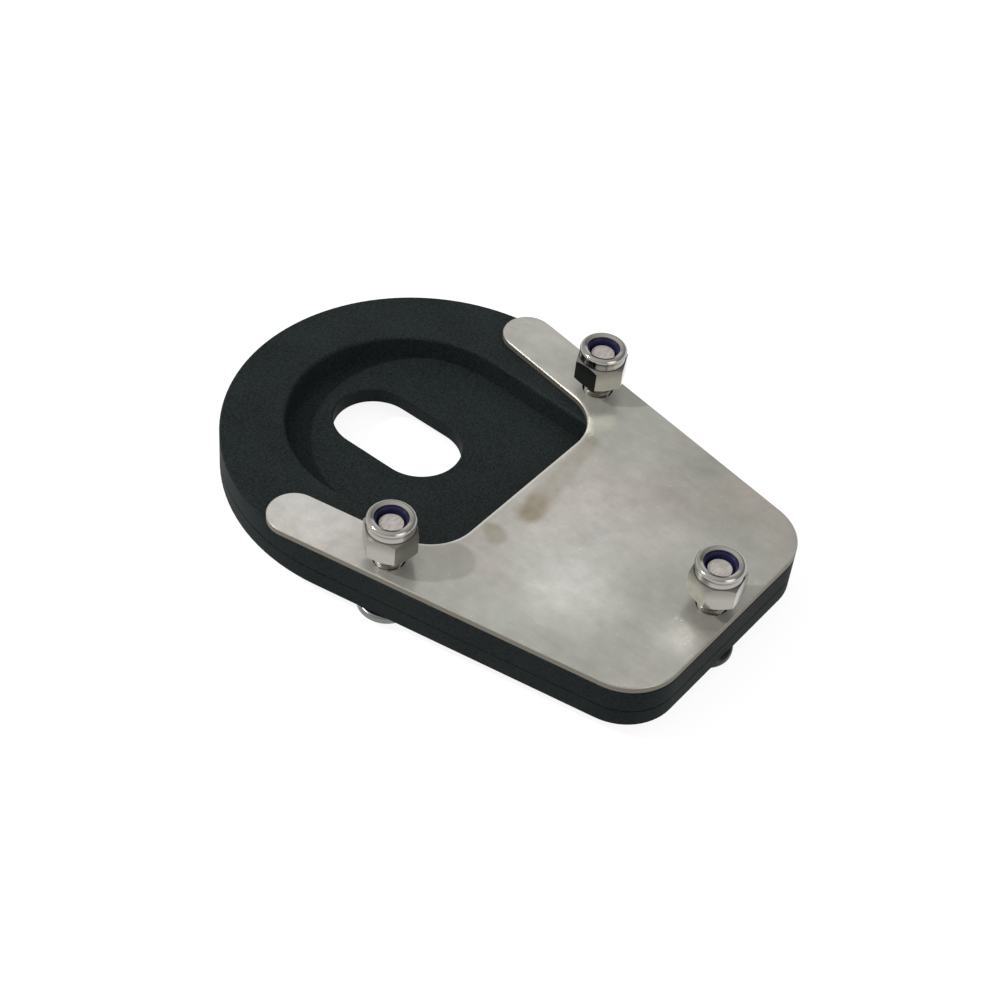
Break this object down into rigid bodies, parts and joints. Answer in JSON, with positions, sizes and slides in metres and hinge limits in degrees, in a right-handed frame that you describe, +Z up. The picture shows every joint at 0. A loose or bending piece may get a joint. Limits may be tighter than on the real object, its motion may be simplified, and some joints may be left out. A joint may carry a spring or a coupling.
{
  "type": "kickstand foot enlarger",
  "caption": "Flat pad with a round end and a tapered tail that enlarges a motorbike kickstand's foot: the foot sits in a slotted pocket, held down by a bolted fork-shaped plate.",
  "frame": {"origin": "middle of the pad's length and width, on the ground plane under the bolt heads", "axes": "+X from the round end to the straight tail, +Y to the left of that, +Z up from the ground towards the lock nuts"},
  "size_m": [0.1209, 0.0858, 0.0263],
  "materials": {
    "black_coated_aluminium": "matte black coating with a fine grain",
    "satin_stainless_sheet": "satin, cloudy, with faint brown stains",
    "bright_stainless_steel": "bright, smooth",
    "navy_nylon": "smooth, slightly glossy"
  },
  "bodies": {
    "root": {"sole_plate": "black_coated_aluminium", "pocket_plate": "black_coated_aluminium", "clamp_plate": "satin_stainless_sheet", "bolts": "bright_stainless_steel", "lock_nuts": "bright_stainless_steel", "nylon_inserts": "navy_nylon"}
  },
  "joints": []
}
